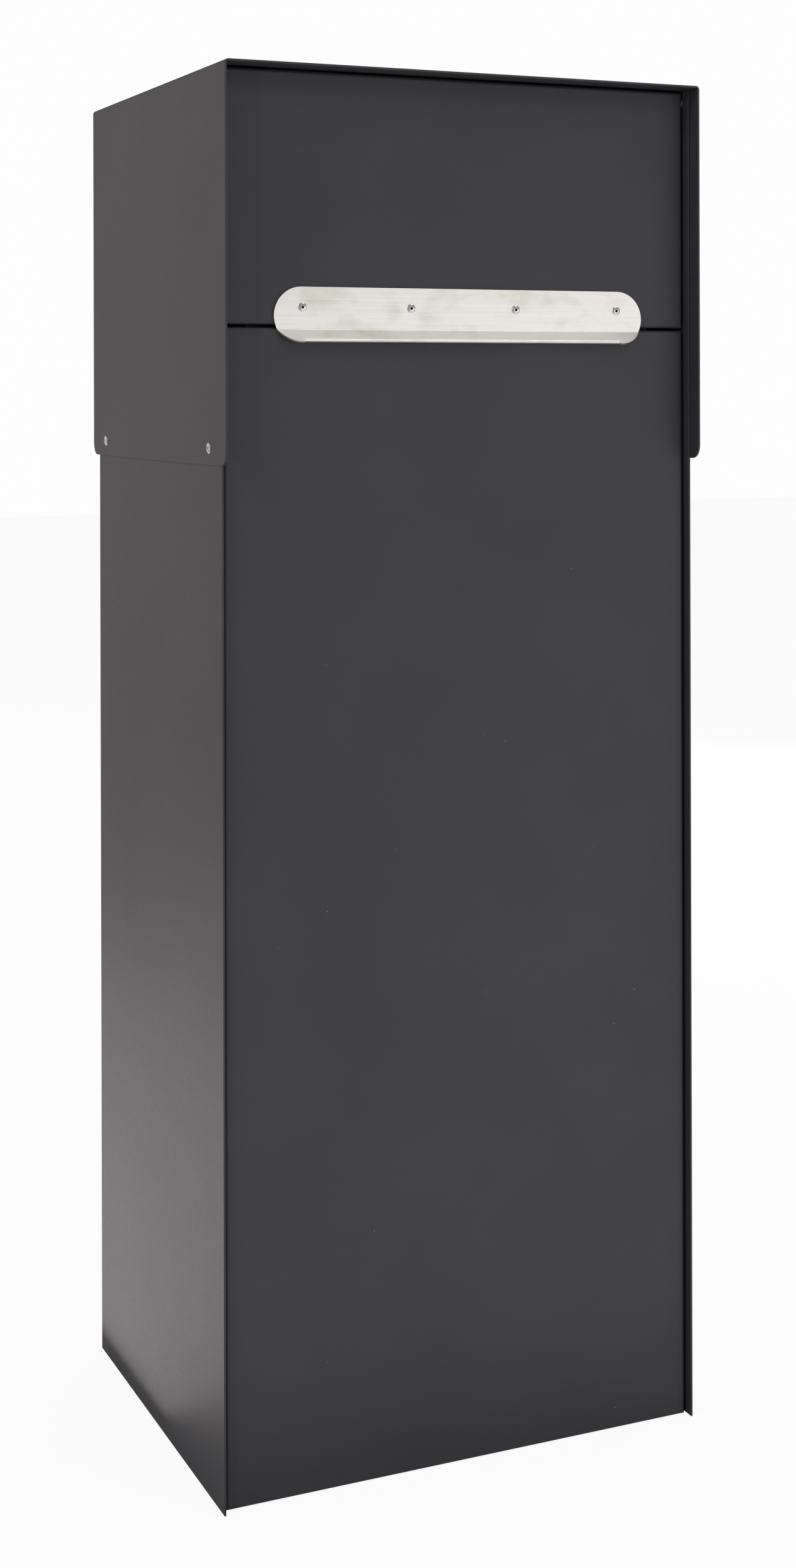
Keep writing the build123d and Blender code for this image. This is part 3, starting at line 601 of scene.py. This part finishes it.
# %% The hem, rolled round
hem_radius, hem_rings = 1.3 * mm, 6
pull_edge_radius = 0.15 * mm
for side in (-1, 1):
    bmesh.ops.bisect_plane(
        pull,
        geom=pull.verts[:] + pull.edges[:] + pull.faces[:],
        dist=weld_gap,
        plane_co=(side * hem_end, 0.0, 0.0),
        plane_no=(1.0, 0.0, 0.0),
    )
hem_edges = hem_corners(pull)
bmesh.ops.bevel(
    pull,
    geom=hem_edges,
    offset=hem_radius,
    offset_type="OFFSET",
    segments=hem_rings,
    profile=0.5,
    affect="EDGES",
    clamp_overlap=False,
    material=-1,
)
softened("handle_plate", pull, pull_edge_radius)
print("hem rolled over", round(2 * hem_end / mm), "mm along", len(hem_edges), "edges")

# %% [markdown]
# ## Blind rivets, set
# A blind rivet is a hollow aluminium head with a steel mandrel pulled through
# it until the mandrel snaps off inside. What shows is a low dome, a rolled
# collar round the bore, and a rough stub a little way down, coloured near black
# as painted shade of the bore. The head is a turned shape, so a profile is drawn
# in half and spun about the rivet's axis.
# The shank and the bulb behind the sheets are part of the same profile.

# %% A profile spun about Z
def turned(profile, steps=48):
    """A closed turned mesh from (radius, height) points that start and end on the axis."""
    bm = bmesh.new()
    rim = [bm.verts.new((radius, 0.0, height)) for radius, height in profile]
    edges = [bm.edges.new(pair) for pair in zip(rim, rim[1:])]
    bmesh.ops.spin(
        bm,
        geom=rim + edges,
        cent=(0.0, 0.0, 0.0),
        axis=(0.0, 0.0, 1.0),
        angle=2 * pi,
        steps=steps,
        use_merge=True,
    )
    bmesh.ops.remove_doubles(bm, verts=bm.verts, dist=weld_gap)
    bmesh.ops.recalc_face_normals(bm, faces=bm.faces)
    return bm


print("a turned mesh is closed where its profile meets the axis")

# %% [markdown]
# ## One mesh, many places
# Identical rivets share one profile and one object, which keeps the list of
# pieces short. Each copy is moved to its place inside the mesh. The rims stay
# crisp by marking their edges sharp, which keeps the mesh whole, where
# splitting them would open it.

# %% Copies in place, with crisp rims
crisp_rim = radians(40)  # edges sharper than this stay crisp


def many(name, bm, places, body, slot, finish=None):
    """One object of a turned mesh repeated at each of some placing matrices."""
    whole = bmesh.new()
    single = bpy.data.meshes.new(name + "_single")
    bm.to_mesh(single)
    bm.free()
    for place in places:
        before = len(whole.verts)
        whole.from_mesh(single)
        whole.verts.ensure_lookup_table()
        bmesh.ops.transform(whole, matrix=place, verts=whole.verts[before:])
    bmesh.ops.remove_doubles(whole, verts=whole.verts[:], dist=weld_gap)
    bmesh.ops.recalc_face_normals(whole, faces=whole.faces[:])
    for face in whole.faces:
        face.smooth = True
    for edge in whole.edges:
        edge.smooth = edge.calc_face_angle(0.0) < crisp_rim
    open_edges = sum(not edge.is_manifold for edge in whole.edges)
    mesh = bpy.data.meshes.new(name)
    whole.to_mesh(mesh)
    whole.free()
    bpy.data.meshes.remove(single)
    mesh.materials.append(finishes[finish or slot])
    piece = bpy.data.objects.new(name, mesh)
    scene.collection.objects.link(piece)
    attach(piece, body)
    print(name, "has", len(mesh.polygons), "faces and", open_edges, "open edges")
    return piece


print("rims sharper than", round(degrees(crisp_rim)), "degrees stay crisp")

# %% [markdown]
# ## The two halves of a set rivet
# Both profiles are shares of the rivet's own sizes, so one drawing serves the
# larger rivets of the cap and the smaller ones of the handle. The dome is
# drawn point by point, because a plain arc has no shoulder where the rolled
# collar begins.

# %% The rivet's two profiles
bulb_length = 2.0 * mm
bore_share = 0.62  # of the shank


def rivet_profile(shank, head, height, grip):
    """Half of a set rivet: bulb, shank, underside, dome, rolled collar and bore."""
    bore = bore_share * shank
    bulb = 1.4 * shank
    back = -grip - bulb_length
    behind_the_sheets = [
        (0.0, back),
        (shank, back),
        (bulb, back + 0.4 * bulb_length),
        (bulb, -grip),
        (shank, -grip),
        (shank, 0.0),
    ]
    dome = [
        (head, 0.0),
        (head, 0.22 * height),
        (0.985 * head, 0.34 * height),
        (0.93 * head, 0.48 * height),
        (0.82 * head, 0.66 * height),
        (0.68 * head, 0.80 * height),
        (0.54 * head, 0.88 * height),
    ]
    collar = [
        (bore + 0.30 * shank, 0.90 * height),
        (bore + 0.22 * shank, 0.98 * height),
        (bore + 0.10 * shank, 1.00 * height),
        (bore + 0.02 * shank, 0.95 * height),
        (bore, 0.84 * height),
    ]
    return behind_the_sheets + dome + collar + [(bore, -0.75 * grip), (0.0, -0.75 * grip)]


def mandrel_profile(shank, top, length):
    """Half of a snapped mandrel: a stub with a small torn cone on its end."""
    stub = 0.60 * shank
    return [
        (0.0, top - length),
        (stub, top - length),
        (stub, top - 0.25 * stub),
        (0.86 * stub, top - 0.10 * stub),
        (0.50 * stub, top - 0.22 * stub),
        (0.28 * stub, top + 0.05 * stub),
        (0.0, top + 0.12 * stub),
    ]


mandrel_steps = 24
print("a 4 mm rivet's bore is", round(4.0 * bore_share, 2), "mm across")

# %% [markdown]
# ## Rivets through the cap
# Two rivets on each side pin the cap to the walls. They point straight out, so
# the turned mesh is tipped a quarter turn to the left or to the right. Their
# places come from the box round the model's own rivets.

# %% Four rivets through the cap
cap_low, cap_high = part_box("cap_rivets")
cap_head, cap_shank, cap_rise = 4.0 * mm, 2.0 * mm, 1.3 * mm
cap_grip = 4.5 * mm
cap_stub_top, cap_stub_length = 0.35 * cap_rise, 2.6 * mm
cap_skin = cap_high[0] - cap_rise
cap_places = []
for side in (-1, 1):
    turn = Matrix.Rotation(side * pi / 2, 4, "Y")
    for along in (cap_low[1] + cap_head, cap_high[1] - cap_head):
        spot = (side * cap_skin, along, cap_high[2] - cap_head)
        cap_places.append(Matrix.Translation(spot) @ turn)
cap_rivets = many(
    "cap_rivets_set",
    turned(rivet_profile(cap_shank, cap_head, cap_rise, cap_grip)),
    cap_places,
    "cabinet",
    "rivet_aluminium",
)
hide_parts("cap_rivets")
many(
    "cap_rivet_stubs",
    turned(mandrel_profile(cap_shank, cap_stub_top, cap_stub_length), mandrel_steps),
    cap_places,
    "cabinet",
    "zinc_plate",
    "torn_steel",
)
print("rivets in the cap:", len(cap_places))

# %% [markdown]
# ## Rivets through the handle
# Four smaller rivets hold the pull, evenly spaced along its plate and pointing
# forwards. Their mandrels snapped deeper down, so their bores look darker.

# %% Four rivets through the handle
grip_low, grip_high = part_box("handle_rivets")
handle_head, handle_shank, handle_rise = 3.25 * mm, 1.6 * mm, 0.9 * mm
handle_grip = 3.0 * mm
handle_stub_top, handle_stub_length = -0.9 * mm, 1.2 * mm
handle_row = (grip_low[2] + grip_high[2]) / 2
handle_skin = grip_low[1] + handle_rise
handle_step = (grip_high[0] - grip_low[0] - 2 * handle_head) / 3
first_rivet = grip_low[0] + handle_head
forwards = Matrix.Rotation(pi / 2, 4, "X")
handle_places = [
    Matrix.Translation((first_rivet + number * handle_step, handle_skin, handle_row)) @ forwards
    for number in range(4)
]
handle_rivets = many(
    "handle_rivets_set",
    turned(rivet_profile(handle_shank, handle_head, handle_rise, handle_grip)),
    handle_places,
    "flap",
    "rivet_aluminium",
)
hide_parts("handle_rivets")
many(
    "handle_rivet_stubs",
    turned(mandrel_profile(handle_shank, handle_stub_top, handle_stub_length), mandrel_steps),
    handle_places,
    "flap",
    "zinc_plate",
    "torn_steel",
)
print("rivets in the handle:", len(handle_places), "at", round(handle_step / mm, 1), "mm")
